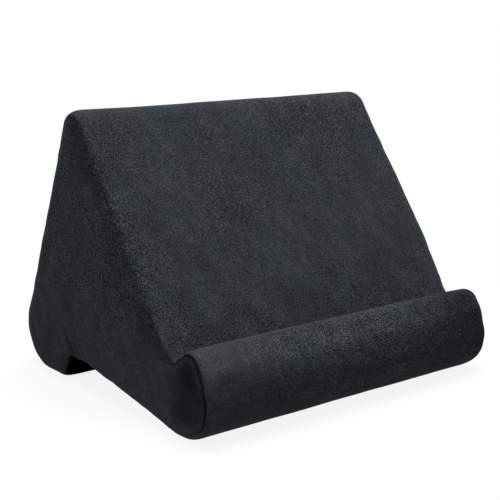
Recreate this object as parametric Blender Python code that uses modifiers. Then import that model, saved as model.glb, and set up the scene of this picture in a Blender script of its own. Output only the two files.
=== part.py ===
"""Tablet cushion stand: a contour-cut foam block in a sewn microsuede cover.

The block is a long prism. Its section has a round roll at the front, a groove behind the roll
where a tablet's lower edge sits, a sloped face that the tablet leans on, a rounded crown and a
round lobe at the back. An arch runs under the middle, so the stand rests on the roll and the
lobe. The cover is two end panels and two strips that run round the section. The strips meet in
the groove and at the top of the arch, and every cover edge at the ends is turned in as a seam
allowance.

Axes: X runs along the width, +Y to the back, +Z up. The origin is at the middle of the
footprint, on the surface that the stand rests on. Sizes are in metres.
"""

import math

import bmesh
import bpy
from mathutils import Vector

WIDTH = 0.290
DEPTH = 0.256
HEIGHT = 0.217

ROLL_RADIUS = 0.031
ROLL_FLAT = 0.008
TOE_RADIUS = 0.020
LIP_RADIUS = 0.0125
LIP_RISE = 0.0025
LIP_LEAN = 0.0105
GROOVE_DEPTH = 0.0122
GROOVE_RADIUS = 0.0025
GROOVE_REACH = 0.00465
FACE_ANGLE = math.radians(53.8)
CROWN_RADIUS = 0.017
LOBE_RADIUS = 0.035
LOBE_FOOT = 0.020
HEEL_RADIUS = 0.0065
ARCH_HEIGHT = 0.023
ARCH_RADIUS = 0.004
ARCH_WALL_RUN = 0.0095

FABRIC = 0.0012
END_ROUNDING = 0.004
SEAM_ALLOWANCE = 0.007
SEAM_GAP = 0.0003
FOAM_GAP = 0.0003

ARC_STEP = math.radians(7.5)
ROUNDING_STEPS = 3

SUEDE_COLOUR = (0.018, 0.021, 0.025, 1.0)
FOAM_COLOUR = (0.42, 0.42, 0.40, 1.0)


class Bend:
    """One round stretch of the section: a circle that the outline runs round.

    radius is above zero where the outline bulges, and below zero in a hollow.
    """

    def __init__(self, name, y, z, radius):
        self.name = name
        self.centre = Vector((y, z))
        self.radius = radius


def section_bends():
    """Return the section's bends in order: up the front, over the crown and back underneath."""
    roll = Bend("roll", ROLL_RADIUS, ROLL_RADIUS, ROLL_RADIUS)
    lip_top = 2 * ROLL_RADIUS + LIP_RISE
    lip = Bend("lip", ROLL_RADIUS - LIP_LEAN, lip_top - LIP_RADIUS, LIP_RADIUS)
    groove_y = lip.centre.x + LIP_RADIUS + GROOVE_RADIUS + GROOVE_REACH
    groove = Bend("groove", groove_y, lip_top - GROOVE_DEPTH + GROOVE_RADIUS, -GROOVE_RADIUS)

    along_face = Vector((math.cos(FACE_ANGLE), math.sin(FACE_ANGLE)))
    into_foam = Vector((along_face.y, -along_face.x))
    start = groove.centre + into_foam * (GROOVE_RADIUS + CROWN_RADIUS)
    face_run = (HEIGHT - CROWN_RADIUS - start.y) / along_face.y
    crown_at = start + along_face * face_run
    crown = Bend("crown", crown_at.x, crown_at.y, CROWN_RADIUS)

    lobe = Bend("lobe", DEPTH - LOBE_RADIUS, LOBE_RADIUS, LOBE_RADIUS)
    heel = Bend("heel", lobe.centre.x - LOBE_FOOT, HEEL_RADIUS, HEEL_RADIUS)
    arch_y = heel.centre.x - HEEL_RADIUS - ARCH_RADIUS - ARCH_WALL_RUN
    arch = Bend("arch", arch_y, ARCH_HEIGHT - ARCH_RADIUS, -ARCH_RADIUS)
    toe = Bend("toe", ROLL_RADIUS + ROLL_FLAT, TOE_RADIUS, TOE_RADIUS)
    return [roll, lip, groove, crown, lobe, heel, arch, toe]


def heading_between(first, second):
    """Return the direction, as an angle, of the straight stretch that joins two bends."""
    reach = second.centre - first.centre
    lean = math.asin((first.radius - second.radius) / reach.length)
    return math.atan2(reach.y, reach.x) - lean


def bend_headings(bends):
    """Return each bend's name with the headings at which the outline enters and leaves it."""
    headings = {}
    for index, bend in enumerate(bends):
        enter = heading_between(bends[index - 1], bend)
        leave = heading_between(bend, bends[(index + 1) % len(bends)])
        turn = (leave - enter + math.pi) % (2 * math.pi) - math.pi
        if bend.radius > 0 and turn > 0:
            turn -= 2 * math.pi
        headings[bend.name] = (enter, enter + turn)
    return headings


def outward_at(heading):
    """Return the direction out of the foam where the outline runs at a heading."""
    return Vector((-math.sin(heading), math.cos(heading)))


def arc_points(bend, enter, leave, inset):
    """Return points round a bend, with the outline moved into the foam by inset.

    A bulge that is smaller than the inset shrinks to the corner where its two sides cross.
    """
    reach = bend.radius - inset
    steps = max(2, math.ceil(abs(leave - enter) / ARC_STEP))
    if bend.radius > 0 and reach <= 0:
        corner = bend.centre + outward_at((enter + leave) / 2) * reach / math.cos((leave - enter) / 2)
        return [corner]
    headings = [enter + (leave - enter) * step / steps for step in range(steps + 1)]
    return [bend.centre + outward_at(heading) * reach for heading in headings]


def outline(inset):
    """Return the closed section as (y, z) points, moved into the foam by inset."""
    bends = section_bends()
    headings = bend_headings(bends)
    points = []
    for bend in bends:
        points += arc_points(bend, *headings[bend.name], inset)
    return points


def strip_path(first, last, inset):
    """Return the open outline from the seam in one hollow to the seam in the next one.

    Each seam is at the middle of its hollow, and half of the seam's gap is left there.
    """
    bends = section_bends()
    headings = bend_headings(bends)
    names = [bend.name for bend in bends]
    index = names.index(first)
    enter, leave = headings[first]
    half_gap = SEAM_GAP / 2 / abs(bends[index].radius)
    points = arc_points(bends[index], (enter + leave) / 2 + half_gap, leave, inset)
    while names[index] != last:
        index = (index + 1) % len(names)
        bend = bends[index]
        enter, leave = headings[bend.name]
        if bend.name == last:
            half_gap = SEAM_GAP / 2 / abs(bend.radius)
            leave = (enter + leave) / 2 - half_gap
        points += arc_points(bend, enter, leave, inset)
    return points


def to_space(x, point):
    """Place a section point at a station along the width."""
    return Vector((x, point.x - DEPTH / 2, point.y))


def strip_stations():
    """Return (x, inset) across a strip: turned-in edge, rounding, flat run, rounding, edge."""
    half = WIDTH / 2
    stations = [(SEAM_ALLOWANCE - half, END_ROUNDING)]
    for step in range(ROUNDING_STEPS + 1):
        turn = math.pi / 2 * step / ROUNDING_STEPS
        x = -half + END_ROUNDING * (1 - math.cos(turn))
        stations.append((x, END_ROUNDING * (1 - math.sin(turn))))
    return stations + [(-x, inset) for x, inset in reversed(stations)]


def clear_scene():
    """Remove the objects that the file opened with."""
    for item in list(bpy.data.objects):
        bpy.data.objects.remove(item, do_unlink=True)


def make_material(name, colour, roughness, sheen=0.0):
    """Make a plain finish."""
    material = bpy.data.materials.new(name)
    material.use_nodes = True
    shader = material.node_tree.nodes["Principled BSDF"]
    shader.inputs["Base Color"].default_value = colour
    shader.inputs["Roughness"].default_value = roughness
    shader.inputs["Metallic"].default_value = 0.0
    shader.inputs["Sheen Weight"].default_value = sheen
    return material


def add_object(name, mesh, material, collection):
    """Put a mesh in the collection under a name, with a finish."""
    item = bpy.data.objects.new(name, mesh)
    mesh.materials.append(material)
    collection.objects.link(item)
    return item


def add_fabric_thickness(item):
    """Give a cover sheet its thickness, on the foam's side."""
    solidify = item.modifiers.new("fabric", "SOLIDIFY")
    solidify.thickness = FABRIC
    solidify.offset = -1
    solidify.use_even_offset = True


def make_strip(name, first, last, material, collection):
    """Bend a grid round the section, from one seam to the next, into a cover strip."""
    stations = strip_stations()
    rows = [[to_space(x, p) for p in strip_path(first, last, inset)] for x, inset in stations]
    across = len(rows) - 1
    along = len(rows[0]) - 1
    sheet = bmesh.new()
    bmesh.ops.create_grid(sheet, x_segments=across, y_segments=along, size=1.0)
    for vert in sheet.verts:
        column = round((vert.co.x + 1) / 2 * across)
        row = round((vert.co.y + 1) / 2 * along)
        vert.co = rows[column][row]
    mesh = bpy.data.meshes.new(name)
    sheet.to_mesh(mesh)
    sheet.free()
    item = add_object(name, mesh, material, collection)
    add_fabric_thickness(item)
    return item


def outline_mesh(name, inset):
    """Fill the section, moved in by inset, as one flat sheet at the middle of the width."""
    curve = bpy.data.curves.new(name, "CURVE")
    curve.dimensions = "2D"
    curve.fill_mode = "BOTH"
    points = outline(inset)
    spline = curve.splines.new("POLY")
    spline.points.add(len(points) - 1)
    for knot, point in zip(spline.points, points):
        knot.co = (point.x - DEPTH / 2, point.y, 0.0, 1.0)
    spline.use_cyclic_u = True
    drawn = bpy.data.objects.new(name, curve)
    bpy.context.scene.collection.objects.link(drawn)
    bpy.context.view_layer.update()
    mesh = bpy.data.meshes.new_from_object(drawn.evaluated_get(bpy.context.evaluated_depsgraph_get()))
    bpy.data.objects.remove(drawn, do_unlink=True)
    bpy.data.curves.remove(curve)
    return mesh


def section_sheet(name, inset, x):
    """Return the filled section as a bmesh that stands at x and faces +X."""
    mesh = outline_mesh(name, inset)
    sheet = bmesh.new()
    sheet.from_mesh(mesh)
    bpy.data.meshes.remove(mesh)
    bmesh.ops.remove_doubles(sheet, verts=sheet.verts, dist=0.00001)
    for vert in sheet.verts:
        vert.co = Vector((x, vert.co.x, vert.co.y))
    bmesh.ops.recalc_face_normals(sheet, faces=sheet.faces)
    if sum(face.normal.x * face.calc_area() for face in sheet.faces) < 0:
        bmesh.ops.reverse_faces(sheet, faces=sheet.faces)
    return sheet


def make_end_panel(name, side, material, collection):
    """Make an end panel: the section in fabric, with its edge turned in along the width."""
    sheet = section_sheet(name, END_ROUNDING + SEAM_GAP, side * WIDTH / 2)
    if side < 0:
        bmesh.ops.reverse_faces(sheet, faces=sheet.faces)
    rim = [edge for edge in sheet.edges if edge.is_boundary]
    turned = bmesh.ops.extrude_edge_only(sheet, edges=rim)
    turned_verts = [part for part in turned["geom"] if isinstance(part, bmesh.types.BMVert)]
    inward = Vector((-side * SEAM_ALLOWANCE, 0.0, 0.0))
    bmesh.ops.translate(sheet, verts=turned_verts, vec=inward)
    bmesh.ops.recalc_face_normals(sheet, faces=sheet.faces)
    flat = [face for face in sheet.faces if abs(face.normal.x) > 0.5]
    if sum(face.normal.x for face in flat) * side < 0:
        bmesh.ops.reverse_faces(sheet, faces=sheet.faces)
    mesh = bpy.data.meshes.new(name)
    sheet.to_mesh(mesh)
    sheet.free()
    item = add_object(name, mesh, material, collection)
    add_fabric_thickness(item)
    return item


def prism_mesh(name, inset, half_width):
    """Make a closed prism of the section, moved in by inset, between plus and minus half_width."""
    solid = section_sheet(name, inset, half_width)
    front = list(solid.faces)
    pushed = bmesh.ops.extrude_face_region(solid, geom=front, use_keep_orig=True)
    moved = [part for part in pushed["geom"] if isinstance(part, bmesh.types.BMVert)]
    bmesh.ops.translate(solid, verts=moved, vec=Vector((-2 * half_width, 0.0, 0.0)))
    bmesh.ops.recalc_face_normals(solid, faces=solid.faces)
    mesh = bpy.data.meshes.new(name)
    solid.to_mesh(mesh)
    solid.free()
    return mesh


def make_core(material, collection, cutters):
    """Make the foam block, stepped in at both ends to leave room for the turned-in edges."""
    cover_skin = FABRIC + FOAM_GAP
    long_half = WIDTH / 2 - SEAM_ALLOWANCE - FOAM_GAP
    core = add_object("foam_core", prism_mesh("foam_core", cover_skin, long_half), material, collection)
    boss_inset = END_ROUNDING + SEAM_GAP + FABRIC + FOAM_GAP
    boss_mesh = prism_mesh("end_bosses", boss_inset, WIDTH / 2 - cover_skin)
    bosses = add_object("end_bosses", boss_mesh, material, cutters)
    bosses.hide_render = True
    bosses.display_type = "WIRE"
    union = core.modifiers.new("end_bosses", "BOOLEAN")
    union.operation = "UNION"
    union.solver = "EXACT"
    union.object = bosses
    return core


def shade(items):
    """Shade the rounded pieces smooth, with their true edges kept sharp."""
    for item in items:
        item.data.shade_smooth()
        item.data.set_sharp_from_angle(angle=math.radians(35))


def main():
    """Build the stand."""
    clear_scene()
    parts = bpy.data.collections.new("tablet_cushion_stand")
    cutters = bpy.data.collections.new("cutters")
    for collection in (parts, cutters):
        bpy.context.scene.collection.children.link(collection)

    suede = make_material("charcoal_suede", SUEDE_COLOUR, 0.85, sheen=0.3)
    foam = make_material("cushion_foam", FOAM_COLOUR, 0.95)

    items = [make_core(foam, parts, cutters)]
    items.append(make_strip("cover_face_back_strip", "groove", "arch", suede, parts))
    items.append(make_strip("cover_roll_base_strip", "arch", "groove", suede, parts))
    items.append(make_end_panel("cover_left_panel", -1, suede, parts))
    items.append(make_end_panel("cover_right_panel", 1, suede, parts))
    shade(items)


main()
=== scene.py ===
"""Looks of the tablet cushion stand: a sewn charcoal suede cover, puffed over a foam block.

The cover is made as one closed shell round the foam's section, puffed as cloth, shaped where the
fabric puckers, and then parted along its seams into two strips and two end panels.

Axes: X runs along the width, +Y to the back, +Z up. Sizes are in metres and angles in radians.
"""

import logging
import math
from collections.abc import Iterable
from dataclasses import dataclass, field, replace
from enum import Enum, IntEnum

import bmesh
import bpy
import numpy as np
from mathutils import Matrix, Vector, geometry, kdtree, noise


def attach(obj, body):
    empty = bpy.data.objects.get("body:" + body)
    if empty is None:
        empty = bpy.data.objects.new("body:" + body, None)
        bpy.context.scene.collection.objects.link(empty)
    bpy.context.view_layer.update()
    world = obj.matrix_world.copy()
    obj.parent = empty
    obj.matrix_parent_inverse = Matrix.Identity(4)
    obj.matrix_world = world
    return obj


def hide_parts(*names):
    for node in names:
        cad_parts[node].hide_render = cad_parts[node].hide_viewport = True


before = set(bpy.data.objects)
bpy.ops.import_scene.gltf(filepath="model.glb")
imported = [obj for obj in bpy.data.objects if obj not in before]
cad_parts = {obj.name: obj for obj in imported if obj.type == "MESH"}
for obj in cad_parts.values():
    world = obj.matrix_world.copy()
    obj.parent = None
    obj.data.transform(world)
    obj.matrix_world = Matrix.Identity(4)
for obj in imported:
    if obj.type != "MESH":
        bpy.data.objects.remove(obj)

LOG = logging.getLogger("tablet_cushion_stand")
Colour = tuple[float, float, float, float]
Zone = tuple[float, float]
Triple = tuple[float, float, float]
Socket = bpy.types.NodeSocket
WHITE: Colour = (1.0, 1.0, 1.0, 1.0)


class Side(IntEnum):
    """The two ends of the cushion, as signs of x."""

    LEFT = -1
    RIGHT = 1


class Panel(IntEnum):
    """The sewn pieces of the cover, in the order of the shell's material slots."""

    FACE_BACK = 0
    ROLL_BASE = 1
    LEFT_END = 2
    RIGHT_END = 3


class Slot(Enum):
    """The record's material slots."""

    STRIP = "suede_strip"
    END = "suede_panel"
    FOAM = "foam"


@dataclass(frozen=True)
class Bend:
    """One round stretch of the section: a circle that the outline runs round.

    radius is above zero where the outline bulges, and below zero in a hollow.
    """

    name: str
    y: float
    z: float
    radius: float

    @property
    def centre(self) -> Vector:
        """Return the circle's centre as (y, z)."""
        return Vector((self.y, self.z))


def outward_at(heading: float) -> Vector:
    """Return the direction out of the foam where the outline runs at a heading."""
    return Vector((-math.sin(heading), math.cos(heading)))


@dataclass(frozen=True)
class Station:
    """One sample of the section: its place, the way out of the foam there, and its stretch."""

    start: Vector
    outward: Vector
    bend: str
    run_share: float = 0.0

    def at(self, inset: float) -> Vector:
        """Return the sample's (y, z) with the outline moved into the foam by inset."""
        return self.start - self.outward * inset


@dataclass(frozen=True)
class CushionSection:
    """The foam block's section, as stretches of circle joined by straight runs.

    Section points are (y, z) with y measured from the front of the roll.
    """

    depth: float = 0.256
    height: float = 0.217
    roll_radius: float = 0.031
    roll_flat: float = 0.008
    toe_radius: float = 0.020
    lip_radius: float = 0.0125
    lip_rise: float = 0.0037
    lip_lean: float = 0.0105
    groove_depth: float = 0.0134
    groove_radius: float = 0.0025
    groove_reach: float = 0.00465
    face_angle: float = math.radians(53.8)
    crown_radius: float = 0.017
    lobe_radius: float = 0.035
    lobe_foot: float = 0.020
    heel_radius: float = 0.0065
    arch_height: float = 0.023
    arch_radius: float = 0.004
    arch_wall_run: float = 0.0095
    cell: float = 0.0046
    arc_step: float = math.radians(17)

    def bends(self) -> list[Bend]:
        """Return the bends in order: up the front, over the crown and back underneath."""
        roll = Bend("roll", self.roll_radius, self.roll_radius, self.roll_radius)
        lip_top = 2 * self.roll_radius + self.lip_rise
        lip_y = self.roll_radius - self.lip_lean
        lip = Bend("lip", lip_y, lip_top - self.lip_radius, self.lip_radius)
        groove_y = lip.y + self.lip_radius + self.groove_radius + self.groove_reach
        groove_z = lip_top - self.groove_depth + self.groove_radius
        groove = Bend("groove", groove_y, groove_z, -self.groove_radius)

        along_face = Vector((math.cos(self.face_angle), math.sin(self.face_angle)))
        into_foam = Vector((along_face.y, -along_face.x))
        start = groove.centre + into_foam * (self.groove_radius + self.crown_radius)
        run = (self.height - self.crown_radius - start.y) / along_face.y
        top = start + along_face * run
        crown = Bend("crown", top.x, top.y, self.crown_radius)

        lobe = Bend("lobe", self.depth - self.lobe_radius, self.lobe_radius, self.lobe_radius)
        heel = Bend("heel", lobe.y - self.lobe_foot, self.heel_radius, self.heel_radius)
        arch_y = heel.y - self.heel_radius - self.arch_radius - self.arch_wall_run
        arch = Bend("arch", arch_y, self.arch_height - self.arch_radius, -self.arch_radius)
        toe = Bend("toe", self.roll_radius + self.roll_flat, self.toe_radius, self.toe_radius)
        return [roll, lip, groove, crown, lobe, heel, arch, toe]

    def headings(self) -> list[tuple[float, float]]:
        """Return the headings at which the outline enters and leaves each bend."""
        bends = self.bends()

        def between(first: Bend, second: Bend) -> float:
            """Return the heading of the straight run that joins two bends."""
            reach = second.centre - first.centre
            lean = math.asin((first.radius - second.radius) / reach.length)
            return math.atan2(reach.y, reach.x) - lean

        found = []
        for index, bend in enumerate(bends):
            enter = between(bends[index - 1], bend)
            leave = between(bend, bends[(index + 1) % len(bends)])
            turn = (leave - enter + math.pi) % (2 * math.pi) - math.pi
            if bend.radius > 0 and turn > 0:
                turn -= 2 * math.pi
            found.append((enter, enter + turn))
        return found

    def stations(self) -> list[Station]:
        """Sample the closed outline in cells of about one size.

        Returns:
            The samples in order. Each hollow has one at its middle, where its seam runs.
        """
        bends = self.bends()
        headings = self.headings()
        samples = []
        for index, bend in enumerate(bends):
            enter, leave = headings[index]
            turn = abs(leave - enter)
            steps = math.ceil(max(turn / self.arc_step, turn * abs(bend.radius) / self.cell))
            steps += steps % 2
            for step in range(steps + 1):
                outward = outward_at(enter + (leave - enter) * step / steps)
                start = bend.centre + outward * bend.radius
                samples.append(Station(start, outward, bend.name))
            following = bends[(index + 1) % len(bends)]
            outward = outward_at(leave)
            run_start = bend.centre + outward * bend.radius
            run_end = following.centre + outward * following.radius
            cells = math.ceil((run_end - run_start).length / self.cell)
            for step in range(1, cells):
                start = run_start.lerp(run_end, step / cells)
                name = f"{bend.name}_to_{following.name}"
                samples.append(Station(start, outward, name, step / cells))
        return samples

    def seam_index(self, bend_name: str) -> int:
        """Return the index of the sample at the middle of a hollow."""
        places = [index for index, item in enumerate(self.stations()) if item.bend == bend_name]
        return places[len(places) // 2]

    def face_line(self) -> tuple[Vector, Vector]:
        """Return a point on the sloped face, and the direction from it into the foam."""
        groove = self.bends()[2]
        into_foam = Vector((math.sin(self.face_angle), -math.cos(self.face_angle)))
        return groove.centre + into_foam * abs(groove.radius), into_foam


@dataclass(frozen=True)
class EndRounding:
    """How the strips turn over an end's edge to the seam on the flat of the end.

    run is along the width and drop is into the section; the roll's end is rounder than the rest.
    """

    run: float = 0.0100
    drop: float = 0.0056
    roll_run: float = 0.0105
    roll_drop: float = 0.0040
    roll_pull: float = 0.0
    roll_zone: Zone = (0.030, 0.075)
    under_run: float = 0.004
    under_drop: float = 0.0036
    under_zone: Zone = (0.001, 0.014)
    arch_run: float = 0.0035
    arch_drop: float = 0.0014
    arch_at: tuple[float, float] = (0.184, 0.016)
    arch_zone: Zone = (0.010, 0.022)
    steps: int = 5

    def at_roll(self, place: Vector) -> float:
        """Return how far a section point belongs to the roll, from 0 to 1."""
        near, far = self.roll_zone
        return min(1.0, max(0.0, (far - place.x) / (far - near)))

    def pull_at(self, place: Vector) -> float:
        """Return how far the end is pulled in at a section point."""
        return self.roll_pull * self.at_roll(place)

    def profile(self, station: Station) -> list[tuple[float, float]]:
        """Return (distance in from the end, inset) from the seam to the flat of the strip."""
        share = self.at_roll(station.start)
        under = share * (1 - ease(station.start.y, *self.under_zone))
        run = self.run + (self.roll_run - self.run) * share + self.under_run * under
        drop = self.drop + (self.roll_drop - self.drop) * share + self.under_drop * under
        arched = 1 - ease((station.start - Vector(self.arch_at)).length, *self.arch_zone)
        run += (self.arch_run - run) * arched
        drop += (self.arch_drop - drop) * arched
        pull = self.pull_at(station.start)
        turns = [math.pi / 2 * step / self.steps for step in range(self.steps + 1)]
        return [
            (pull + (run - pull) * (1 - math.cos(turn)), drop * (1 - math.sin(turn)))
            for turn in turns
        ]


@dataclass(frozen=True)
class Pucker:
    """A soft crease pressed into an end panel between two points of the section."""

    start: tuple[float, float]
    end: tuple[float, float]
    width: float
    depth: float
    reach: Zone = (-0.3, 1.2)
    fade_at: float = 0.25
    fade_spread: float = 0.22
    ridge_share: float = 0.45
    ridge_at: float = 1.9
    ridge_spread: float = 1.3

    def press(self, point: Vector) -> float:
        """Return how far the panel moves out at a section point: a crease and a ridge beside it."""
        start, end = Vector(self.start), Vector(self.end)
        along = end - start
        length = along.length
        along /= length
        offset = point - start
        run = offset.dot(along) / length
        if not self.reach[0] < run < self.reach[1]:
            return 0.0
        across = (offset.x * along.y - offset.y * along.x) / self.width
        fade = math.exp(-((run - self.fade_at) ** 2) / self.fade_spread)
        crease = -math.exp(-(across**2))
        ridge = self.ridge_share * math.exp(-((across - self.ridge_at) ** 2) / self.ridge_spread)
        return self.depth * fade * (crease + ridge)


def ease(value: float, low: float, high: float) -> float:
    """Return a smooth step from 0 at low to 1 at high."""
    share = min(1.0, max(0.0, (value - low) / (high - low)))
    return share * share * (3 - 2 * share)


def bell(offset: float, reach: float) -> float:
    """Return 1 at no offset, and less the more reaches it is away."""
    return math.exp(-((offset / reach) ** 2))


def search_tree(points: list[Vector]) -> kdtree.KDTree:
    """Return a tree that finds the nearest of some points."""
    tree = kdtree.KDTree(len(points))
    for index, point in enumerate(points):
        tree.insert(point, index)
    tree.balance()
    return tree


@dataclass(frozen=True)
class PileAndPaintedShadeMap:
    """Painted light and shade on the suede, and how fuzzy its pile is.

    The level paints a highlight along the top of the roll, where the strips turn onto the ends and beside
    the seams near the toe. It paints shade lower on the roll and towards its right end, round the roll on
    the end panels, below the notch between roll and face, along the face's edge, in the creases and seams,
    near the floor and in the arch. The end panels are also darker towards the back, and lighter low under
    the front of the roll. The nap is the pile's own fuzz.
    The roll's levels are (height, level) up the front of the roll.
    """

    # Painted highlight along the top of the roll and painted shade down its front, by height.
    roll_painted_light_levels: tuple[tuple[float, float], ...] = (
        (0.012, -0.12),
        (0.0335, -0.10),
        (0.040, -0.03),
        (0.043, 0.22),
        (0.0465, 0.62),
        (0.050, 0.74),
        (0.058, 0.80),
        (0.0615, 0.64),
        (0.0645, 0.42),
        (0.0675, 0.16),
    )
    roll_zone: Zone = (0.030, 0.046)
    # Painted shade on the roll towards its right end.
    roll_far_painted_shade: float = -0.52
    far_zone: Zone = (0.02, 0.12)
    face: float = 0.05
    end: float = -0.12
    back_end: float = -0.25
    back_zone: Zone = (0.15, 0.225)
    # Painted shade on the end panels round the roll, near the front.
    toe_end_painted_shade: float = -0.86
    toe_zone: Zone = (0.024, 0.052)
    belly: float = 0.08
    belly_zones: tuple[Zone, Zone] = ((0.006, 0.020), (0.05, 0.09))
    # Painted shade in a band on the end panels just behind the sloped face's edge, in its upper and lower
    # parts.
    crest_painted_shade: float = -0.50
    crest_behind: float = 0.011
    crest_reach: float = 0.008
    crest_top: Zone = (0.140, 0.170)
    crest_low: tuple[Zone, Zone] = ((0.050, 0.062), (0.076, 0.105))
    # Painted shade on the end panels below the notch between roll and face.
    nape_painted_shade: float = -0.16
    nape_at: tuple[float, float] = (0.026, 0.050)
    nape_reach: float = 0.014
    # Painted shade in each pucker's crease and painted highlight on the ridge beside it.
    crease: float = 260.0
    # Painted highlight where the surface turns over from the strips to the end panels.
    edge_painted_highlight: float = 0.30
    edge_highlight_turn: float = 0.55
    edge_highlight_reach: float = 0.25
    # Painted shade close along the seams.
    seam_painted_shade: float = -0.15
    seam_shade_reach: float = 0.0012
    # Painted highlight in a strip a few millimetres from the seam, on the end panels near the toe.
    welt_painted_highlight: float = 0.30
    welt_away: float = 0.0026
    welt_reach: float = 0.0015
    # Painted shade on the lowest few millimetres, next to the floor.
    floor_painted_shade: float = -0.60
    floor_shade_zone: Zone = (0.001, 0.006)
    # Painted shadow in the arch under the cushion.
    arch: float = -1.29
    arch_wall: Zone = (0.15, 0.17)
    arch_top: Zone = (0.024, 0.032)
    arch_front: Zone = (0.055, 0.085)
    nap_face: float = 0.88
    nap_top: Zone = (0.165, 0.200)
    nap_roll: tuple[float, float] = (0.42, 1.30)
    nap_roll_zone: Zone = (-0.120, -0.030)
    nap_end: tuple[float, float] = (0.64, 1.35)
    nap_end_zone: Zone = (0.050, 0.095)
    smooth_toe: float = 0.50
    most: float = 1.3
    painted_light_strength: float = 0.75

    def across(self, normal: Vector) -> float:
        """Return how far a point faces the side, from 0 to 1."""
        return min(1.0, abs(normal.x) ** 2 * 1.15)

    def level(self, x: float, place: Vector, normal: Vector, away: float, behind: float) -> float:
        """Return the level of painted light and shade.

        Args:
            x: The point's station along the width.
            place: The point's place in the section.
            normal: The way that the surface faces.
            away: The distance from the nearest seam.
            behind: The distance behind the plane of the sloped face.

        Returns:
            The level: below zero for painted shade, which darkens the suede, and above zero for painted
                highlight.
        """
        across = self.across(normal)
        roll = 1 - ease(place.x, *self.roll_zone)
        # Painted highlight and painted shade up the front of the roll.
        front = float(np.interp(place.y, *zip(*self.roll_painted_light_levels)))
        # Painted shade on the roll, growing towards its right end.
        front += (self.roll_far_painted_shade - front) * ease(x, *self.far_zone)
        strip = self.face + (front - self.face) * roll

        toe = 1 - ease(place.x, *self.toe_zone)
        end = self.end + self.back_end * ease(place.x, *self.back_zone)
        # Painted shade on the end panels round the roll.
        end += (self.toe_end_painted_shade - end) * toe
        low, above = self.crest_low
        shaded = ease(place.y, *self.crest_top) + ease(place.y, *low) * (1 - ease(place.y, *above))
        # Painted shade in a band along the sloped face's edge.
        end += self.crest_painted_shade * shaded * bell(behind - self.crest_behind, self.crest_reach)
        # Painted shade below the notch between roll and face.
        end += self.nape_painted_shade * bell((place - Vector(self.nape_at)).length, self.nape_reach)
        under_roll, front_part = self.belly_zones
        belly = (1 - ease(place.y, *under_roll)) * (1 - ease(place.x, *front_part))
        end += (self.belly - end) * belly

        level = strip + (end - strip) * across
        # Painted highlight where the surface turns onto the ends, weaker at the toe.
        turning = bell(abs(normal.x) - self.edge_highlight_turn, self.edge_highlight_reach)
        level += self.edge_painted_highlight * turning * (1 - 0.8 * toe)
        # Painted shade close along the seams.
        level += self.seam_painted_shade * bell(away, self.seam_shade_reach)
        # Painted highlight beside the seam near the toe.
        beside = bell(away - self.welt_away, self.welt_reach)
        level += self.welt_painted_highlight * beside * toe * ease(abs(normal.x), 0.5, 0.8)
        # Painted shade next to the floor.
        level += self.floor_painted_shade * (1 - ease(place.y, *self.floor_shade_zone))
        # Painted shadow in the arch, on its ceiling and its forward-facing walls.
        walls = ease(-normal.y, 0.5, 0.9) * ease(place.x, *self.arch_wall)
        hidden = min(1.0, ease(-normal.z, 0.35, 0.75) + walls)
        under = hidden * (1 - across) * (1 - ease(place.y, *self.arch_top))
        return level + (self.arch - level) * under * ease(place.x, *self.arch_front)

    def nap(self, x: float, place: Vector, normal: Vector) -> float:
        """Return how fuzzy the pile is: over 1 where it stands up, less where it is rubbed smooth."""
        across = self.across(normal)
        roll = 1 - ease(place.x, *self.roll_zone)
        toe = 1 - ease(place.x, *self.toe_zone)
        face = self.nap_face + (1 - self.nap_face) * ease(place.y, *self.nap_top)
        near, far = self.nap_roll
        front = near + (far - near) * ease(x, *self.nap_roll_zone)
        low, high = self.nap_end
        end = low + (high - low) * ease(place.y, *self.nap_end_zone)
        strip = face + (front - face) * roll
        return (strip + (end - strip) * across) * (1 - self.smooth_toe * toe * across)


@dataclass(frozen=True)
class SeamShape:
    """The sewn seam as a small rounded trench between two pieces, in a shallow pinch."""

    half_width: float = 0.00045
    lip: float = 0.00012
    depth: float = 0.0011
    pinch_depth: float = 0.00035
    pinch_reach: float = 0.0022
    gather_height: float = 0.00028
    gather_reach: float = 0.0065
    gathers_per_metre: float = 105.0
    calm_reach: float = 0.006
    pucker_reach: float = 0.002
    soft_share: float = 0.16
    crisp_zone: Zone = (0.040, 0.055)
    under_zone: Zone = (0.003, 0.010)

    def strength(self, place: Vector) -> float:
        """Return how crisp the seam is at a section point: crisp round the roll, soft elsewhere."""
        crisp = (1 - ease(place.x, *self.crisp_zone)) * ease(place.y, *self.under_zone)
        return self.soft_share + (1 - self.soft_share) * crisp


@dataclass(frozen=True)
class Wave:
    """A soft unevenness of the filling, which shows through the cover."""

    height: float
    per_metre: float
    shift: Triple

    def rise(self, place: Vector) -> float:
        """Return how far the cover moves out at a point."""
        return self.height * noise.noise(place * self.per_metre + Vector(self.shift))


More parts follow.
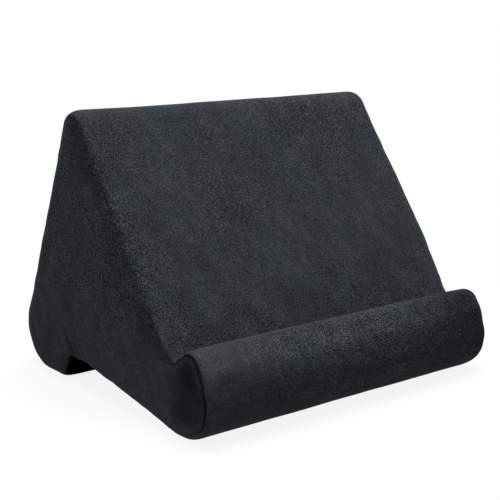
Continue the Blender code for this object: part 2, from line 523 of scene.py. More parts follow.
@dataclass
class CoverShell:
    """The whole cover as one closed mesh, before it is parted along its seams."""

    section: CushionSection = field(default_factory=CushionSection)
    width: float = 0.290
    tuck: float = 0.0
    run_crowns: dict[str, float] = field(
        default_factory=lambda: {
            "roll_to_lip": 0.0019,
            "groove_to_crown": 0.0008,
            "crown_to_lobe": 0.0008,
            "lip_to_groove": 0.0006,
        }
    )
    panel_dome: float = 0.0014
    dome_reach: float = 0.020
    rim_rise: float = 0.0011
    rim_reach: float = 0.0030
    bridge_lift: float = 0.0042
    bridge_reach: float = 0.0070
    bridge_run: float = 0.011
    lip_lift: float = 0.0018
    lip_run: float = 0.012
    lip_zones: tuple[Zone, Zone] = ((0.044, 0.060), (0.030, 0.039))
    pressure: float = 0.35
    sim_frames: int = 20
    slack: float = 0.006
    most_puff: float = 0.0024
    most_sink: float = 0.0002
    ends: dict[Side, EndRounding] = field(
        default_factory=lambda: {
            Side.LEFT: EndRounding(roll_run=0.0040, roll_drop=0.0012),
            Side.RIGHT: EndRounding(roll_run=0.0140, roll_drop=0.0026, roll_pull=0.0088),
        }
    )
    puckers: tuple[Pucker, ...] = (
        Pucker((0.1780, 0.0270), (0.1875, 0.0460), 0.0030, 0.0019),
        Pucker((0.1760, 0.0270), (0.1660, 0.0420), 0.0034, 0.0007),
        Pucker((0.1420, 0.0480), (0.1180, 0.0780), 0.0044, 0.0009),
        Pucker((0.1900, 0.0600), (0.1640, 0.0700), 0.0040, 0.0006),
        Pucker((0.0440, 0.0530), (0.0720, 0.0500), 0.0028, 0.0011),
        Pucker((0.1650, 0.1900), (0.1720, 0.1600), 0.0060, 0.0006),
    )
    waves: tuple[Wave, ...] = (
        Wave(0.00042, 17.0, (3.1, 7.7, 1.3)),
        Wave(0.00022, 41.0, (9.2, 0.4, 5.5)),
    )
    held_below: float = 0.0006
    panel_skin: float = 0.004

    def to_space(self, x: float, point: Vector) -> Vector:
        """Place a section point at a station along the width."""
        return Vector((x, point.x - self.section.depth / 2, point.y))

    def tucked(self, station: Station) -> float:
        """Return how far the shell starts inside the CAD skin; below zero on a crowned run."""
        crown = self.run_crowns.get(station.bend, 0.0) * math.sin(math.pi * station.run_share)
        return self.tuck - crown

    def rows(self) -> list[list[Vector]]:
        """Return the strips' points: one row across the width for each sample of the section."""
        left, right = self.ends[Side.LEFT], self.ends[Side.RIGHT]
        half = self.width / 2
        cells = math.ceil((self.width - 0.02) / self.section.cell)
        groove = self.section.bends()[2]
        rows = []
        for station in self.section.stations():
            tuck = self.tucked(station)
            near = left.profile(station)
            far = right.profile(station)
            row = [self.to_space(-half + x, station.at(inset + tuck * (1 - inset / near[0][1])))
                   for x, inset in near]
            first, last = -half + near[-1][0], half - far[-1][0]
            row += [self.to_space(first + (last - first) * step / cells, station.at(tuck))
                    for step in range(1, cells)]
            row += [self.to_space(half - x, station.at(inset + tuck * (1 - inset / far[0][1])))
                    for x, inset in reversed(far)]
            rows.append([self.lifted(point, groove) for point in row])
        return rows

    def lifted(self, point: Vector, groove: Bend) -> Vector:
        """Lift the cover out of the groove near an end, and along the lip between the ends."""
        place = self.section_point(point)
        off = (place - groove.centre).length
        inside = self.width / 2 - abs(point.x)
        spans = bell(off, self.bridge_reach) * bell(inside, self.bridge_run)
        rising, behind = self.lip_zones
        lip = ease(place.y, *rising) * (1 - ease(place.x, *behind))
        full = lip * (1 - math.exp(-inside / self.lip_run))
        return point + Vector((0.0, 0.0, self.bridge_lift * spans + self.lip_lift * full))

    def panel_points(self, rim: list[Vector], tree: kdtree.KDTree) -> list[Vector]:
        """Return points on a staggered grid inside a rim of section points, clear of the rim."""
        pitch = self.section.cell
        row_pitch, clear = pitch * 0.866, pitch * 0.62
        corners = [(point.x, point.y) for point in rim]
        found = []
        for row in range(int(self.section.height / row_pitch) + 2):
            for column in range(int(self.section.depth / pitch) + 2):
                point = Vector(((column + 0.5 * (row % 2)) * pitch, row * pitch * 0.866))
                if tree.find(point.to_3d())[2] > clear and inside_outline(point, corners):
                    found.append(point)
        return found

    def build(self) -> bpy.types.Object:
        """Build the closed shell.

        Returns:
            The shell, with one material slot for each sewn piece and a vertex group of held points.
        """
        rows = self.rows()
        count, across = len(rows), len(rows[0])
        verts = [point for row in rows for point in row]
        groove, arch = self.section.seam_index("groove"), self.section.seam_index("arch")
        faces, panels = [], []
        for index in range(count):
            following = (index + 1) % count
            panel = Panel.FACE_BACK if groove <= index < arch else Panel.ROLL_BASE
            for column in range(across - 1):
                first, second = index * across + column, following * across + column
                faces.append((first, first + 1, second + 1, second))
                panels.append(panel)
        for side, panel in ((Side.LEFT, Panel.LEFT_END), (Side.RIGHT, Panel.RIGHT_END)):
            column = 0 if side is Side.LEFT else across - 1
            cells = self.add_end(verts, range(column, count * across, across), side)
            faces += cells
            panels += [panel] * len(cells)
        mesh = bpy.data.meshes.new("cover_shell")
        mesh.from_pydata(verts, [], faces)
        mesh.validate()
        for name in Panel:
            mesh.materials.append(bpy.data.materials.new(f"chalk_{name.name.lower()}"))
        mesh.polygons.foreach_set("material_index", panels)
        shell = bpy.data.objects.new("cover_shell", mesh)
        bpy.context.scene.collection.objects.link(shell)
        face_outward(mesh)
        held = {row * across + column for row in (groove, arch) for column in range(across)}
        held |= {row * across + column for row in range(count) for column in (0, across - 1)}
        held |= {index for index, point in enumerate(verts) if point.z < self.held_below}
        group = shell.vertex_groups.new(name="held")
        group.add(sorted(held), 1.0, "REPLACE")
        return shell

    def add_end(self, verts: list[Vector], rim_ids: range, side: Side) -> list[tuple[int, ...]]:
        """Add an end panel's points to the shell's, and raise the panel between its seams.

        Args:
            verts: The shell's points, which the panel's are added to.
            rim_ids: The points of the panel's rim.
            side: The end that the panel closes.

        Returns:
            The panel's faces.
        """
        rim = [self.section_point(verts[vert]) for vert in rim_ids]
        tree = search_tree([point.to_3d() for point in rim])
        flat = rim + self.panel_points(rim, tree)
        loop = [list(range(len(rim)))]
        points, _, cells, origins, _, _ = geometry.delaunay_2d_cdt(flat, [], loop, 1, 1e-7)
        ids = []
        for point, origin in zip(points, origins):
            if origin and origin[0] < len(rim):
                ids.append(rim_ids[origin[0]])
            else:
                ids.append(len(verts))
                x = side * (self.width / 2 - self.ends[side].pull_at(point))
                verts.append(self.to_space(x, point))
        for vert in ids:
            away = tree.find(self.section_point(verts[vert]).to_3d())[2]
            rise = self.panel_dome * (1 - bell(away, self.dome_reach))
            rise += self.rim_rise * (1 - math.exp(-away / self.rim_reach))
            verts[vert] = verts[vert] + Vector((side * rise, 0.0, 0.0))
        return [tuple(ids[corner] for corner in cell) for cell in cells]

    def section_point(self, point: Vector) -> Vector:
        """Return a point's place in the section."""
        return Vector((point.y + self.section.depth / 2, point.z))

    def puff(self, shell: bpy.types.Object) -> None:
        """Puff the shell as cloth under pressure, with its seams and feet held, and apply it.

        Args:
            shell: The closed shell, with its group of held points.
        """
        rest = points_of(shell.data)
        cloth = shell.modifiers.new("puff", "CLOTH")
        for name, value in {
            "quality": 6,
            "mass": 0.25,
            "air_damping": 2.0,
            "tension_stiffness": 30.0,
            "compression_stiffness": 30.0,
            "shear_stiffness": 12.0,
            "bending_stiffness": 1.2,
            "use_pressure": True,
            "uniform_pressure_force": self.pressure,
            "shrink_min": -self.slack,
            "vertex_group_mass": "held",
        }.items():
            setattr(cloth.settings, name, value)
        cloth.settings.effector_weights.gravity = 0.0
        cloth.collision_settings.use_collision = False
        cloth.collision_settings.use_self_collision = False
        cloth.point_cache.frame_start = 1
        cloth.point_cache.frame_end = self.sim_frames
        scene = bpy.context.scene
        for step in range(1, self.sim_frames + 1):
            scene.frame_set(step)
        moved = points_of(shell.evaluated_get(bpy.context.evaluated_depsgraph_get()).data)
        shell.modifiers.remove(cloth)
        scene.frame_set(1)
        shift = moved - rest
        normals = np.array([vert.normal for vert in shell.data.vertices])
        out = np.sum(shift * normals, axis=1)
        LOG.info("puffed from %.2f to %.2f mm", 1000 * out.min(), 1000 * out.max())
        kept = np.where(out > 0, self.most_puff * np.tanh(out / self.most_puff),
                        self.most_sink * np.tanh(out / self.most_sink))
        place_points(shell.data, rest + normals * kept[:, None])

    def smooth(self, shell: bpy.types.Object) -> None:
        """Round the shell with one applied subdivision."""
        subdivision = shell.modifiers.new("round", "SUBSURF")
        subdivision.levels = subdivision.render_levels = 1
        apply_modifiers(shell)

    def sculpt(self, shell: bpy.types.Object, seam: SeamShape) -> None:
        """Pinch the seams, gather the fabric along them, and press the puckers and soft waves.

        Args:
            shell: The smoothed shell.
            seam: The seam's sizes.
        """
        mesh = shell.data
        tree = search_tree([mesh.vertices[index].co for index in seam_vertices(mesh)])
        points = points_of(mesh)
        normals = np.array([vert.normal for vert in mesh.vertices])
        panel_from = self.width / 2 - self.panel_skin
        moves = np.zeros(len(points))
        for index, vert in enumerate(mesh.vertices):
            spot = self.section_point(vert.co)
            near, _, away = tree.find(vert.co)
            pinch = -seam.pinch_depth * bell(away, seam.pinch_reach) * seam.strength(spot)
            ripple = noise.noise(near * seam.gathers_per_metre)
            gather = seam.gather_height * ripple * 2 * math.exp(-away / seam.gather_reach)
            broad = sum(wave.rise(vert.co) for wave in self.waves)
            calm = 1 - math.exp(-away / seam.calm_reach)
            press = 0.0
            if abs(vert.co.x) > panel_from and abs(vert.normal.x) > 0.5:
                press = sum(pucker.press(spot) for pucker in self.puckers)
                press *= 1 - math.exp(-away / seam.pucker_reach)
            moves[index] = pinch + gather + calm * broad + press
        points += normals * moves[:, None]
        points[:, 2] = np.maximum(points[:, 2], 0.0)
        place_points(mesh, points)
        # Paint light and shade into the pile attribute, and write the pile's fuzz.
        self.paint_shade_and_pile(mesh, tree, PileAndPaintedShadeMap())

    def paint_shade_and_pile(self, mesh: bpy.types.Mesh, seams: kdtree.KDTree, pile: PileAndPaintedShadeMap) -> None:
        """Write the painted light and shade at each point, from -1, painted shade, to 1, painted highlight,
        and the pile's fuzz.

        Args:
            mesh: The sculpted shell's mesh.
            seams: The seams' points.
            pile: Where the suede gets painted light and shade, and how fuzzy its pile is.
        """
        on_face, into_foam = self.section.face_line()
        levels, naps = [], []
        for vert in mesh.vertices:
            away = seams.find(vert.co)[2]
            place = self.section_point(vert.co)
            behind = (place - on_face).dot(into_foam)
            level = pile.level(vert.co.x, place, vert.normal, away, behind)
            if abs(vert.normal.x) > 0.5:
                # Painted shade in the puckers' creases and painted highlight on their ridges.
                level += pile.crease * sum(pucker.press(place) for pucker in self.puckers)
            levels.append(level)
            naps.append(pile.nap(vert.co.x, place, vert.normal))
        # The pile attribute holds the painted light and shade; the nap attribute holds the pile's fuzz.
        for name, values in (("pile", levels), ("nap", naps)):
            attribute = mesh.attributes.new(name, "FLOAT", "POINT")
            attribute.data.foreach_set("value", values)


def inside_outline(point: Vector, corners: list[tuple[float, float]]) -> bool:
    """Tell whether a section point is inside a closed outline."""
    inside = False
    for (y0, z0), (y1, z1) in zip(corners, corners[1:] + corners[:1]):
        if (z0 > point.y) != (z1 > point.y):
            if point.x < (y1 - y0) * (point.y - z0) / (z1 - z0) + y0:
                inside = not inside
    return inside


def points_of(mesh: bpy.types.Mesh) -> np.ndarray:
    """Return a mesh's points as rows of x, y and z."""
    flat = np.zeros(len(mesh.vertices) * 3, np.float32)
    mesh.vertices.foreach_get("co", flat)
    return flat.reshape(-1, 3).astype(float)


def place_points(mesh: bpy.types.Mesh, points: np.ndarray) -> None:
    """Move a mesh's points to new places."""
    mesh.vertices.foreach_set("co", points.astype(np.float32).ravel())
    mesh.update()


def face_outward(mesh: bpy.types.Mesh) -> None:
    """Turn every face of a closed mesh outward."""
    sheet = bmesh.new()
    sheet.from_mesh(mesh)
    bmesh.ops.recalc_face_normals(sheet, faces=sheet.faces)
    if sheet.calc_volume(signed=True) < 0:
        bmesh.ops.reverse_faces(sheet, faces=sheet.faces)
    sheet.to_mesh(mesh)
    sheet.free()


def apply_modifiers(item: bpy.types.Object) -> None:
    """Replace an object's mesh by the one that its modifiers make."""
    bpy.context.view_layer.update()
    seen = item.evaluated_get(bpy.context.evaluated_depsgraph_get())
    mesh = bpy.data.meshes.new_from_object(seen)
    item.modifiers.clear()
    item.data = mesh


def seam_vertices(mesh: bpy.types.Mesh) -> list[int]:
    """Return the points where two or more sewn pieces meet."""
    pieces: dict[int, int] = {}
    found = set()
    for face in mesh.polygons:
        for vert in face.vertices:
            if pieces.setdefault(vert, face.material_index) != face.material_index:
                found.add(vert)
    return sorted(found)


@dataclass
class SewnPiece:
    """One sewn piece of the cover, cut from the shell, with its edges rolled into the seams."""

    name: str
    panel: Panel
    slot: Slot
    seam: SeamShape = field(default_factory=SeamShape)

    def cut(self, shell: bpy.types.Object) -> bpy.types.Object:
        """Cut this piece from the shell.

        Args:
            shell: The sculpted shell, whose faces' material slots name the sewn pieces.

        Returns:
            The piece as its own object.
        """
        mesh = shell.data.copy()
        mesh.name = self.name
        sheet = bmesh.new()
        sheet.from_mesh(mesh)
        sheet.verts.ensure_lookup_table()
        ways = {vert.index: vert.normal.copy() for vert in sheet.verts}
        kept = sheet.verts.layers.int.new("shell_index")
        for vert in sheet.verts:
            vert[kept] = vert.index
        others = [face for face in sheet.faces if face.material_index != self.panel]
        bmesh.ops.delete(sheet, geom=others, context="FACES")
        self.roll_edges(sheet, kept, ways)
        for face in sheet.faces:
            face.material_index = 0
            face.smooth = True
        sheet.verts.layers.int.remove(kept)
        sheet.to_mesh(mesh)
        sheet.free()
        mesh.materials.clear()
        piece = bpy.data.objects.new(self.name, mesh)
        bpy.context.scene.collection.objects.link(piece)
        return piece

    def roll_edges(self, sheet: bmesh.types.BMesh, kept: object, ways: dict[int, Vector]) -> None:
        """Pull the piece's edge back from the seam, and turn it down to the seam's bottom."""
        rim = [edge for edge in sheet.edges if edge.is_boundary]
        seam_points, inward, down = {}, {}, {}
        half_depth = CushionSection().depth / 2
        for vert in {end for edge in rim for end in edge.verts}:
            run = [edge.other_vert(vert).co for edge in vert.link_edges if edge.is_boundary]
            along = (run[0] - run[-1]).normalized()
            inner = [edge.other_vert(vert).co for edge in vert.link_edges if not edge.is_boundary]
            if not inner:
                inner = [face.calc_center_median() for face in vert.link_faces]
            way = sum(inner, Vector()) / len(inner) - vert.co
            way = (way - along * way.dot(along)).normalized()
            index = vert[kept]
            strength = self.seam.strength(Vector((vert.co.y + half_depth, vert.co.z)))
            seam_points[index] = vert.co.copy()
            inward[index], down[index] = way * strength, -ways[index] * strength

        steps = (
            (self.seam.half_width * 0.62, 0.00010),
            (self.seam.half_width * 0.30, self.seam.depth * 0.40),
            (0.0, self.seam.depth),
        )
        for vert in {end for edge in rim for end in edge.verts}:
            index = vert[kept]
            vert.co = seam_points[index] + inward[index] * self.seam.half_width
            vert.co -= down[index] * self.seam.lip
        for back, sink in steps:
            made = bmesh.ops.extrude_edge_only(sheet, edges=rim)["geom"]
            rim = [part for part in made if isinstance(part, bmesh.types.BMEdge) and part.is_boundary]
            for vert in (part for part in made if isinstance(part, bmesh.types.BMVert)):
                index = vert[kept]
                vert.co = seam_points[index] + inward[index] * back + down[index] * sink


@dataclass(frozen=True)
class SuedeFinish:
    """Brushed microsuede: a soft mottled nap over a fine pebbled grain."""

    name: str
    cool: Colour
    warm: Colour
    dark: Colour
    grain_per_metre: float = 980.0
    grain_height: float = 0.00016
    tip_zone: Zone = (0.43, 0.64)
    tip_low: float = 0.16
    tip_high: float = 2.10
    pebble_share: float = 0.15
    rub_per_metre: float = 13.0
    fuzz_low: float = 0.80
    fuzz_high: float = 1.15
    mottle_per_metre: float = 58.0
    mottle_share: float = 0.85
    sheen: float = 0.04
    sheen_tint: Colour = (0.55, 0.60, 0.64, 1.0)
    shine: float = 0.06
    matt_zone: Zone = (-1.2, -0.8)
    roughness: float = 0.88
    nap_angle: float = math.radians(50)

    def material(self) -> bpy.types.Material:
        """Build the finish.

        Returns:
            A material whose colour, roughness and bump come from the cover's own coordinates, with painted
            light and shade from the pile attribute scaling its colour.
        """
        board = NodeBoard(bpy.data.materials.new(self.name))
        place = board.place()
        nap = board.mapped(place, (self.nap_angle, 0.0, 0.3), (1.3, 2.1, 0.8))
        mottle = board.noise(nap, self.mottle_per_metre, detail=3.5, roughness=0.62)
        patches = board.noise(place, self.mottle_per_metre * 0.45, detail=2.0, roughness=0.5)
        streak = board.noise(nap, self.mottle_per_metre * 3.0, detail=1.0, roughness=0.5)
        pebble = board.pebbles(place, self.grain_per_metre)
        fleck = board.noise(place, self.grain_per_metre * 1.25, detail=1.0, roughness=0.7)
        fibre = board.noise(nap, self.grain_per_metre * 4.2, detail=2.0, roughness=0.75)
        rubbed = board.noise(place, self.rub_per_metre, detail=1.0, roughness=0.5)
        # The pile attribute holds painted light and shade.
        pile = board.attribute("pile")

        tones = board.weighted([(patches, 0.5), (streak, 0.5)])
        tint = board.blend(board.span(tones, 0.42, 0.58), self.cool, self.warm)
        cloudy = board.scale_colour(tint, board.span(streak, 0.3, 0.7, 0.86, 1.14))
        flat = board.span(board.span(mottle, 0.40, 0.64), 0.0, 1.0, 0.0, self.mottle_share)
        napped = board.blend(flat, cloudy, self.dark)
        # Painted highlight and painted shade: the pile attribute scales the colour up or down.
        most, change = PileAndPaintedShadeMap.most, PileAndPaintedShadeMap.most * PileAndPaintedShadeMap.painted_light_strength
        lifted = board.scale_colour(napped, board.span(pile, -most, most, 1 - change, 1 + change))
        speckle = board.weighted([
            (board.span(fleck, *self.tip_zone, self.tip_low, self.tip_high), 1 - self.pebble_share),
            (board.span(pebble, 0.05, 0.55, 1.6, 0.4), self.pebble_share),
        ])
        rub = board.span(rubbed, 0.38, 0.62, self.fuzz_low, self.fuzz_high)
        fuzz = board.arithmetic("MULTIPLY", board.attribute("nap"), rub)
        height = board.weighted([(pebble, -1.0), (fleck, 0.55), (fibre, 0.22)])
        return board.surface(
            Base_Color=board.scale_colour(lifted, board.eased(speckle, fuzz)),
            Roughness=board.span(fleck, 0.3, 0.7, self.roughness - 0.06, self.roughness + 0.08),
            Normal=board.bump(height, self.grain_height, fuzz),
            # Gloss and sheen fade out where the painted shadow is deepest.
            Specular_IOR_Level=board.span(pile, *self.matt_zone, 0.0, self.shine),
            Sheen_Weight=board.span(pile, *self.matt_zone, 0.0, self.sheen),
            Sheen_Roughness=0.45,
            Sheen_Tint=self.sheen_tint,
        )


@dataclass(frozen=True)
class FoamFinish:
    """Open-cell foam: pale grey with small round pores."""

    name: str = "open_cell_foam"
    colour: Colour = (0.52, 0.52, 0.49, 1.0)
    pore: Colour = (0.25, 0.25, 0.23, 1.0)
    cells_per_metre: float = 900.0
    pore_depth: float = 0.0004

    def material(self) -> bpy.types.Material:
        """Build the finish."""
        board = NodeBoard(bpy.data.materials.new(self.name))
        pores = board.pebbles(board.place(), self.cells_per_metre)
        return board.surface(
            Base_Color=board.blend(board.span(pores, 0.05, 0.35), self.pore, self.colour),
            Roughness=0.95,
            Normal=board.bump(pores, self.pore_depth),
        )


class NodeBoard:
    """A material's or a world's nodes, with short methods for the patterns that the finishes use."""

    def __init__(self, owner: bpy.types.Material | bpy.types.World) -> None:
        """Start on the nodes of a material or a world."""
        self.owner = owner
        owner.use_nodes = True
        self.tree = owner.node_tree
        self.shader = self.tree.nodes.get("Principled BSDF")

    def feed(self, value: object, target: Socket) -> None:
        """Give an input another socket's values, or a fixed number or colour."""
        if isinstance(value, Socket):
            self.tree.links.new(value, target)
        else:
            target.default_value = value

    def feed_all(self, node: bpy.types.Node, inputs: dict[str, object]) -> None:
        """Feed a node's inputs by name, with an underscore for each space."""
        for name, value in inputs.items():
            self.feed(value, node.inputs[name.replace("_", " ")])

    def add(self, kind: str, operation: str = "", **inputs: object) -> bpy.types.Node:
        """Add a node, and feed its inputs."""
        node = self.tree.nodes.new(kind)
        if operation:
            node.operation = operation
        self.feed_all(node, inputs)
        return node

    def surface(self, **inputs: object) -> bpy.types.Material:
        """Feed the surface shader, and return the material."""
        self.feed_all(self.shader, inputs)
        return self.owner

    def place(self, kind: str = "Object") -> Socket:
        """Return a point's coordinates."""
        return self.add("ShaderNodeTexCoord").outputs[kind]

    def attribute(self, name: str) -> Socket:
        """Return the values that the mesh holds under a name."""
        node = self.add("ShaderNodeAttribute")
        node.attribute_name = name
        return node.outputs["Fac"]

    def mapped(self, place: Socket, turn: Triple, scale: Triple) -> Socket:
        """Turn and stretch a pattern's coordinates."""
        node = self.add("ShaderNodeMapping", Vector=place, Rotation=turn, Scale=scale)
        node.vector_type = "TEXTURE"
        return node.outputs["Vector"]

    def noise(self, place: Socket, scale: float, detail: float, roughness: float) -> Socket:
        """Add a soft random pattern with so many patches per metre."""
        node = self.add("ShaderNodeTexNoise", Vector=place, Scale=scale, Detail=detail,
                        Roughness=roughness)
        return node.outputs["Fac"]

    def pebbles(self, place: Socket, scale: float) -> Socket:
        """Add a pebbled pattern: 0 at each pebble's middle, and more between pebbles."""
        node = self.add("ShaderNodeTexVoronoi", Vector=place, Scale=scale)
        node.feature = "SMOOTH_F1"
        node.inputs["Smoothness"].default_value = 0.6
        return node.outputs["Distance"]

    def span(self, value: Socket, low: float, high: float, to_low: float = 0.0,
             to_high: float = 1.0) -> Socket:
        """Spread a pattern's values from one range to another."""
        node = self.add("ShaderNodeMapRange", Value=value, From_Min=low, From_Max=high,
                        To_Min=to_low, To_Max=to_high)
        return node.outputs["Result"]

    def blend(self, share: Socket, first: object, second: object) -> Socket:
        """Mix two colours, each a colour or a socket, by a pattern."""
        node = self.add("ShaderNodeMix")
        node.data_type = "RGBA"
        for value, index in ((share, 0), (first, 6), (second, 7)):
            self.feed(value, node.inputs[index])
        return node.outputs[2]

    def scale_colour(self, colour: Socket, amount: Socket) -> Socket:
        """Make a colour lighter or darker by a pattern."""
        return self.add("ShaderNodeVectorMath", "SCALE", Vector=colour, Scale=amount).outputs["Vector"]

    def arithmetic(self, operation: str, *values: object) -> Socket:
        """Work out a product, a sum or the larger one of sockets and numbers."""
        node = self.add("ShaderNodeMath", operation)
        for value, target in zip(values, node.inputs):
            self.feed(value, target)
        return node.outputs["Value"]

    def weighted(self, parts: Iterable[tuple[Socket, float]]) -> Socket:
        """Add patterns up, each by its weight."""
        total = 0.0
        for value, weight in parts:
            total = self.arithmetic("MULTIPLY_ADD", value, weight, total)
        return total

    def eased(self, factor: Socket, strength: Socket) -> Socket:
        """Bring a factor towards 1 where its strength is low, and keep it above 0."""
        node = self.add("ShaderNodeMix")
        node.data_type = "FLOAT"
        node.clamp_factor = False
        for value, index in ((strength, 0), (1.0, 2), (factor, 3)):
            self.feed(value, node.inputs[index])
        return self.arithmetic("MAXIMUM", node.outputs[0], 0.05)

    def bump(self, height: Socket, distance: float, strength: object = 1.0) -> Socket:
        """Press a pattern into the surface, and return the way that it faces."""
        node = self.add("ShaderNodeBump", Height=height, Distance=distance, Strength=strength)
        return node.outputs["Normal"]

    def mixed(self, share: Socket, first: bpy.types.Node,
              second: bpy.types.Node) -> bpy.types.Node:
        """Mix two shaders."""
        node = self.add("ShaderNodeMixShader")
        for value, target in zip((share, first.outputs[0], second.outputs[0]), node.inputs):
            self.feed(value, target)
        return node

    def seen_directly(self) -> Socket:
        """Return a socket that is 1 for what the camera sees, also in a gloss or through glass."""
        path = self.add("ShaderNodeLightPath")
        total = path.outputs["Is Camera Ray"]
        for name in ("Is Glossy Ray", "Is Transmission Ray"):
            total = self.arithmetic("MAXIMUM", total, path.outputs[name])
        return total


@dataclass
class SuedeCover:
    """The sewn cover: two strips round the section and two end panels."""

    shell: CoverShell = field(default_factory=CoverShell)
    seam: SeamShape = field(default_factory=SeamShape)
    fill: float = 0.85
    strip_finish: SuedeFinish = SuedeFinish(
        name="charcoal_suede_strip",
        cool=(0.0355, 0.0450, 0.0495, 1.0),
        warm=(0.0430, 0.0435, 0.0500, 1.0),
        dark=(0.0275, 0.0308, 0.0342, 1.0),
    )
    end_finish: SuedeFinish = SuedeFinish(
        name="charcoal_suede_end",
        cool=(0.0345, 0.0455, 0.0505, 1.0),
        warm=(0.0450, 0.0425, 0.0515, 1.0),
        dark=(0.0275, 0.0292, 0.0360, 1.0),
        grain_height=0.00015,
        mottle_per_metre=50.0,
    )

    def pieces(self) -> tuple[SewnPiece, ...]:
        """Return the pieces to cut."""
        return (
            SewnPiece("suede_face_back_strip", Panel.FACE_BACK, Slot.STRIP, self.seam),
            SewnPiece("suede_roll_base_strip", Panel.ROLL_BASE, Slot.STRIP, self.seam),
            SewnPiece("suede_left_panel", Panel.LEFT_END, Slot.END, self.seam),
            SewnPiece("suede_right_panel", Panel.RIGHT_END, Slot.END, self.seam),
        )

    def build(self) -> list[bpy.types.Object]:
        """Build the cover and put its pieces in the place of the CAD cover.

        Returns:
            The sewn pieces.
        """
        shell = self.shell.build()
        self.shell.puff(shell)
        self.shell.smooth(shell)
        self.shell.sculpt(shell, self.seam)
        strip, end = self.strip_finish.material(), self.end_finish.material()
        stands_for = {
            Panel.FACE_BACK: "cover_face_back_strip",
            Panel.ROLL_BASE: "cover_roll_base_strip",
            Panel.LEFT_END: "cover_left_panel",
            Panel.RIGHT_END: "cover_right_panel",
        }
        made = []
        for piece in self.pieces():
            item = piece.cut(shell)
            item.data.materials.append(strip if piece.slot is Slot.STRIP else end)
            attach(item, "root")
            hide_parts(stands_for[piece.panel])
            LOG.info("%s: %d faces", item.name, len(item.data.polygons))
            made.append(item)
        bpy.data.objects.remove(shell, do_unlink=True)
        return made


@dataclass
class FoamBlock:
    """The foam inside the cover: the same section, a little smaller, with rounded ends."""

    skin: float = 0.0034
    end_gap: float = 0.0045
    finish: FoamFinish = field(default_factory=FoamFinish)

    def build(self, cover: CoverShell) -> bpy.types.Object:
        """Build the block, and put it in the place of the CAD core.

        Args:
            cover: The cover that the block fills.

        Returns:
            The block.
        """
        rounding = EndRounding(run=0.014, drop=0.008, roll_run=0.019, roll_drop=0.013)
        pulled = cover.ends[Side.RIGHT].roll_pull + 0.0010
        block = CoverShell(
            section=replace(cover.section, cell=0.008),
            width=cover.width - 2 * self.end_gap,
            tuck=self.skin,
            run_crowns={},
            ends={Side.LEFT: rounding, Side.RIGHT: replace(rounding, roll_pull=pulled)},
        )
        core = block.build()
        core.name = core.data.name = "foam_block"
        core.vertex_groups.clear()
        core.data.materials.clear()
        core.data.materials.append(self.finish.material())
        core.data.polygons.foreach_set("material_index", [0] * len(core.data.polygons))
        core.data.shade_smooth()
        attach(core, "root")
        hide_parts("foam_core")
        LOG.info("%s: %d faces", core.name, len(core.data.polygons))
        return core


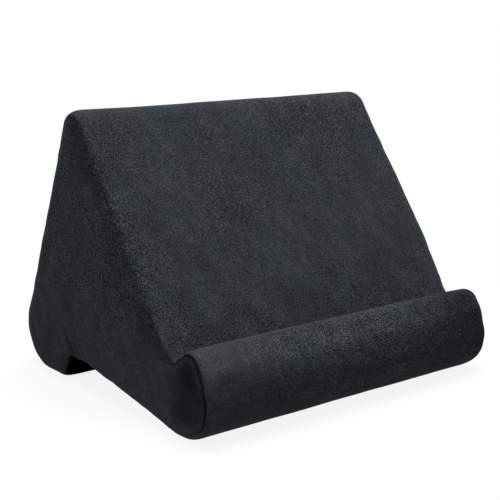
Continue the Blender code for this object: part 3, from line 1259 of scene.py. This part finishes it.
@dataclass
class Studio:
    """A pale floor, soft light and the camera."""

    floor_size: float = 6.0
    floor_colour: Colour = (0.98, 0.98, 0.98, 1.0)
    bounce_colour: Colour = (0.40, 0.40, 0.40, 1.0)
    white_share: float = 0.88
    fade_from: float = 0.26
    fade_to: float = 0.60
    sky: float = 0.34
    ground: float = 0.10
    sky_zone: Zone = (-0.15, 0.9)
    focal_pixels: float = 1162.8
    picture_pixels: float = 500.0
    sensor: float = 36.0
    camera_at: Triple = (-0.57777, -0.72233, 0.30574)
    azimuth: float = math.radians(38.275)
    pitch: float = math.radians(12.641)
    roll: float = math.radians(0.126)

    def build(self) -> None:
        """Build the floor, the light and the camera."""
        self.lay_floor()
        self.light_sky()
        self.add_lamps()
        self.place_camera()
        bpy.context.scene.view_settings.view_transform = "Standard"

    def lay_floor(self) -> None:
        """Lay the floor, which looks white and still shows the cushion's shadow."""
        half = self.floor_size / 2
        mesh = bpy.data.meshes.new("floor")
        corners = [(-half, -half, 0.0), (half, -half, 0.0), (half, half, 0.0), (-half, half, 0.0)]
        mesh.from_pydata(corners, [], [(0, 1, 2, 3)])
        floor = bpy.data.objects.new("floor", mesh)
        floor.location = (0.0, 0.0, -0.0002)
        bpy.context.scene.collection.objects.link(floor)
        board = NodeBoard(bpy.data.materials.new("pale_floor"))
        board.tree.nodes.remove(board.shader)
        bounce = board.add("ShaderNodeBsdfDiffuse", Color=self.bounce_colour)
        seen = board.add("ShaderNodeBsdfDiffuse", Color=self.floor_colour)
        glow = board.add("ShaderNodeEmission", Color=WHITE)
        away = board.add("ShaderNodeVectorMath", "LENGTH", Vector=board.place()).outputs["Value"]
        fade = board.span(away, self.fade_from, self.fade_to, self.white_share, 1.0)
        both = board.mixed(board.seen_directly(), bounce, board.mixed(fade, seen, glow))
        board.feed(both.outputs[0], board.tree.nodes["Material Output"].inputs["Surface"])
        mesh.materials.append(board.owner)

    def light_sky(self) -> None:
        """Light the scene from above, and show white where the camera sees no object."""
        world = bpy.data.worlds.new("studio_sky")
        bpy.context.scene.world = world
        board = NodeBoard(world)
        board.tree.nodes.clear()
        way = board.add("ShaderNodeSeparateXYZ", Vector=board.place("Generated"))
        strength = board.span(way.outputs["Z"], *self.sky_zone, self.ground, self.sky)
        light = board.add("ShaderNodeBackground", Color=WHITE, Strength=strength)
        white = board.add("ShaderNodeBackground", Color=WHITE)
        both = board.mixed(board.seen_directly(), light, white)
        board.add("ShaderNodeOutputWorld", Surface=both.outputs[0])

    def add_lamps(self) -> None:
        """Hang a broad soft lamp above the cushion, and weaker ones at its left, right and back."""
        for name, place, size, watts in (
            ("top_softbox", (0.0, -0.10, 1.40), 0.9, 18.0),
            ("left_softbox", (-1.5, 0.1, 0.5), 0.9, 3.6),
            ("right_softbox", (1.5, 0.3, 0.5), 0.9, 4.5),
            ("back_softbox", (0.5, 1.6, 0.7), 0.9, 5.0),
        ):
            lamp = bpy.data.lights.new(name, "AREA")
            lamp.size = size
            lamp.energy = watts
            item = bpy.data.objects.new(name, lamp)
            item.location = place
            aim = Vector((0.0, 0.0, 0.09)) - Vector(place)
            item.rotation_euler = aim.to_track_quat("-Z", "Y").to_euler()
            bpy.context.scene.collection.objects.link(item)

    def place_camera(self) -> None:
        """Place the camera."""
        lens = bpy.data.cameras.new("camera")
        lens.sensor_fit = "HORIZONTAL"
        lens.sensor_width = self.sensor
        lens.lens = self.focal_pixels * self.sensor / self.picture_pixels
        lens.clip_start, lens.clip_end = 0.01, 50.0
        camera = bpy.data.objects.new("camera", lens)
        aim = Vector((
            math.sin(self.azimuth) * math.cos(self.pitch),
            math.cos(self.azimuth) * math.cos(self.pitch),
            -math.sin(self.pitch),
        ))
        turn = aim.to_track_quat("-Z", "Y").to_matrix().to_4x4()
        camera.matrix_world = Matrix.Translation(self.camera_at) @ turn @ Matrix.Rotation(self.roll, 4, "Z")
        bpy.context.scene.collection.objects.link(camera)
        bpy.context.scene.camera = camera


def main() -> None:
    """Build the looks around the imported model."""
    logging.basicConfig(level=logging.INFO, format="%(name)s: %(message)s")
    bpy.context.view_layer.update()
    Studio().build()
    LOG.info("studio: built")
    cover = SuedeCover()
    cover.build()
    FoamBlock().build(cover.shell)


if __name__ == "__main__":
    main()
